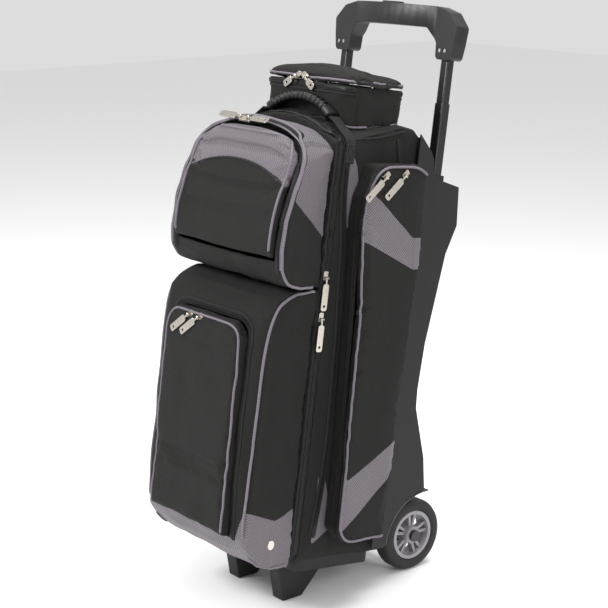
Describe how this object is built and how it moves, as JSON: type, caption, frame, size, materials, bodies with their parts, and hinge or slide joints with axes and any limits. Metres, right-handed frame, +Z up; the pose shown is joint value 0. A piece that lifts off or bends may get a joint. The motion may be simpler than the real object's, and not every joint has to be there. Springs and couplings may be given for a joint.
{
  "type": "bowling ball roller bag",
  "caption": "Tall wheeled roller bag for bowling balls: padded trunk with a hinged front door, zipped pockets, moulded back shell, telescoping handle and small top case.",
  "frame": {"origin": "on the floor, under the middle of the whole bag as it stands on its two front legs and two wheels", "axes": "+Z up, -Y to the front (pockets and door), +Y to the back (shell and wheels), +X to the bag's right seen from the front; the bag itself leans back by 8.1 degrees"},
  "size_m": [0.3584, 0.4713, 0.9703],
  "materials": {
    "black_fabric": "woven polyester",
    "grey_fabric": "ripstop weave",
    "webbing": "ribbed webbing",
    "foam": "closed-cell foam",
    "board": "fabric-covered board",
    "shell_plastic": "fine moulded grain",
    "housing_plastic": "smooth",
    "handle_rubber": "soft moulded",
    "tube_metal": "dark anodised",
    "tyre": "matte",
    "rim": "satin silver grey",
    "steel": "plain",
    "nickel": "worn nickel"
  },
  "bodies": {
    "trunk": {"body_shell": "black_fabric", "back_shell": "shell_plastic", "base_tray": "shell_plastic", "ball_cup_lower": "foam", "ball_cup_middle": "foam", "ball_cup_upper": "foam", "shelf_lower": "board", "shelf_upper": "board", "base_screws": "steel", "front_leg_right": "shell_plastic", "front_leg_left": "shell_plastic", "wheel_housing_right": "housing_plastic", "wheel_housing_left": "housing_plastic", "wheel_axle": "steel", "axle_caps": "housing_plastic", "outer_tubes": "tube_metal", "tube_foot_bar": "shell_plastic", "tube_sockets": "shell_plastic", "side_pocket_tub_right": "black_fabric", "side_pocket_tub_left": "black_fabric", "carry_webbing_right": "webbing", "carry_webbing_left": "webbing"},
    "front_door": {"door_panel": "black_fabric", "dome_pocket_tub": "black_fabric", "lower_pocket_tub": "black_fabric", "side_badge": "nickel", "zip_sliders_main": "nickel"},
    "dome_cover": {"dome_pocket_cover": "grey_fabric", "zip_sliders_dome": "nickel"},
    "lower_cover": {"lower_pocket_cover": "black_fabric", "zip_sliders_lower": "nickel"},
    "side_cover_right": {"side_pocket_cover_right": "black_fabric", "zip_sliders_side_right": "nickel"},
    "side_cover_left": {"side_pocket_cover_left": "black_fabric", "zip_sliders_side_left": "nickel"},
    "top_case": {"top_case_tub": "black_fabric"},
    "case_lid": {"top_case_lid": "black_fabric", "zip_sliders_case": "nickel"},
    "carry_handle": {"carry_grip": "handle_rubber"},
    "handle_middle": {"mid_tubes": "tube_metal"},
    "handle_top": {"inner_tubes": "tube_metal", "grip": "shell_plastic", "grip_screws": "steel"},
    "button": {"grip_button": "housing_plastic"},
    "wheel_right": {"tyre_right": "tyre", "rim_right": "rim"},
    "wheel_left": {"tyre_left": "tyre", "rim_left": "rim"},
    "pull_main_1": {"zip_pull_main_1": "nickel"},
    "pull_main_2": {"zip_pull_main_2": "nickel"},
    "pull_dome_1": {"zip_pull_dome_1": "nickel"},
    "pull_dome_2": {"zip_pull_dome_2": "nickel"},
    "pull_lower_1": {"zip_pull_lower_1": "nickel"},
    "pull_lower_2": {"zip_pull_lower_2": "nickel"},
    "pull_side_right_1": {"zip_pull_side_right_1": "nickel"},
    "pull_side_right_2": {"zip_pull_side_right_2": "nickel"},
    "pull_side_left_1": {"zip_pull_side_left_1": "nickel"},
    "pull_side_left_2": {"zip_pull_side_left_2": "nickel"},
    "pull_case_1": {"zip_pull_case_1": "nickel"},
    "pull_case_2": {"zip_pull_case_2": "nickel"}
  },
  "joints": [
    {"name": "door_hinge", "type": "hinge", "parent": "trunk", "child": "front_door", "pos_m": [-0.1296, -0.06264, 0.43542], "axis": [0, -0.1409, -0.99], "range_deg": [0, 90]},
    {"name": "dome_cover_hinge", "type": "hinge", "parent": "front_door", "child": "dome_cover", "pos_m": [0, -0.16267, 0.59985], "axis": [1, 0, 0], "range_deg": [0, 100]},
    {"name": "lower_cover_hinge", "type": "hinge", "parent": "front_door", "child": "lower_cover", "pos_m": [0, -0.23618, 0.16144], "axis": [1, 0, 0], "range_deg": [0, 110]},
    {"name": "side_cover_hinge_right", "type": "hinge", "parent": "trunk", "child": "side_cover_right", "pos_m": [0.1578, 0.08547, 0.41434], "axis": [0, 0.1409, 0.99], "range_deg": [0, 110]},
    {"name": "side_cover_hinge_left", "type": "hinge", "parent": "trunk", "child": "side_cover_left", "pos_m": [-0.1578, 0.08547, 0.41434], "axis": [0, -0.1409, -0.99], "range_deg": [0, 110]},
    {"name": "top_case_lift", "type": "slide", "parent": "trunk", "child": "top_case", "axis": [0, 0.1409, 0.99], "range_m": [0, 0.1]},
    {"name": "case_lid_hinge", "type": "hinge", "parent": "top_case", "child": "case_lid", "pos_m": [0, 0.13901, 0.83317], "axis": [-1, 0, 0], "range_deg": [0, 90]},
    {"name": "carry_handle_pivot", "type": "hinge", "parent": "trunk", "child": "carry_handle", "pos_m": [0, 0.0027, 0.80086], "axis": [1, 0, 0], "range_deg": [0, 40]},
    {"name": "handle_lower_stage", "type": "slide", "parent": "trunk", "child": "handle_middle", "axis": [0, 0.1409, 0.99], "range_m": [-0.115, 0]},
    {"name": "handle_upper_stage", "type": "slide", "parent": "handle_middle", "child": "handle_top", "axis": [0, 0.1409, 0.99], "range_m": [-0.069, 0]},
    {"name": "button_press", "type": "slide", "parent": "handle_top", "child": "button", "axis": [0, 0.1409, 0.99], "range_m": [-0.004, 0], "stiffness_N_per_m": 2000},
    {"name": "wheel_spin_right", "type": "hinge", "parent": "trunk", "child": "wheel_right", "pos_m": [0.095, 0.1624, 0.0635], "axis": [1, 0, 0], "continuous": true},
    {"name": "wheel_spin_left", "type": "hinge", "parent": "trunk", "child": "wheel_left", "pos_m": [-0.095, 0.1624, 0.0635], "axis": [1, 0, 0], "continuous": true},
    {"name": "pull_main_1_swing", "type": "hinge", "parent": "front_door", "child": "pull_main_1", "pos_m": [0.1352, -0.0543, 0.55645], "axis": [0, -0.99, 0.1409], "range_deg": [0, 90]},
    {"name": "pull_main_2_swing", "type": "hinge", "parent": "front_door", "child": "pull_main_2", "pos_m": [0.1352, -0.0636, 0.49111], "axis": [0, -0.99, 0.1409], "range_deg": [0, 90]},
    {"name": "pull_dome_1_swing", "type": "hinge", "parent": "dome_cover", "child": "pull_dome_1", "pos_m": [-0.025, -0.10128, 0.79979], "axis": [0, 0.7997, 0.6004], "range_deg": [0, 90]},
    {"name": "pull_dome_2_swing", "type": "hinge", "parent": "dome_cover", "child": "pull_dome_2", "pos_m": [-0.005, -0.10128, 0.79979], "axis": [0, -0.7997, -0.6004], "range_deg": [0, 90]},
    {"name": "pull_lower_1_swing", "type": "hinge", "parent": "lower_cover", "child": "pull_lower_1", "pos_m": [-0.0364, -0.20106, 0.48764], "axis": [-0.6, 0.1127, 0.792], "range_deg": [0, 90]},
    {"name": "pull_lower_2_swing", "type": "hinge", "parent": "lower_cover", "child": "pull_lower_2", "pos_m": [-0.0104, -0.20106, 0.48764], "axis": [-0.6, 0.1127, 0.792], "range_deg": [0, 90]},
    {"name": "pull_side_right_1_swing", "type": "hinge", "parent": "side_cover_right", "child": "pull_side_right_1", "pos_m": [0.1772, 0.07263, 0.71096], "axis": [0, -0.6083, 0.7937], "range_deg": [0, 90]},
    {"name": "pull_side_right_2_swing", "type": "hinge", "parent": "side_cover_right", "child": "pull_side_right_2", "pos_m": [0.1772, 0.03247, 0.71264], "axis": [0, -0.6083, 0.7937], "range_deg": [0, 90]},
    {"name": "pull_side_left_1_swing", "type": "hinge", "parent": "side_cover_left", "child": "pull_side_left_1", "pos_m": [-0.1772, 0.07263, 0.71096], "axis": [0, 0.6083, -0.7937], "range_deg": [0, 90]},
    {"name": "pull_side_left_2_swing", "type": "hinge", "parent": "side_cover_left", "child": "pull_side_left_2", "pos_m": [-0.1772, 0.03247, 0.71264], "axis": [0, 0.6083, -0.7937], "range_deg": [0, 90]},
    {"name": "pull_case_1_swing", "type": "hinge", "parent": "case_lid", "child": "pull_case_1", "pos_m": [-0.03055, 0.01532, 0.85544], "axis": [-0.5269, 0.1198, 0.8414], "range_deg": [0, 90]},
    {"name": "pull_case_2_swing", "type": "hinge", "parent": "case_lid", "child": "pull_case_2", "pos_m": [-0.00745, 0.01532, 0.85544], "axis": [-0.5269, -0.1198, -0.8414], "range_deg": [0, 90]}
  ]
}
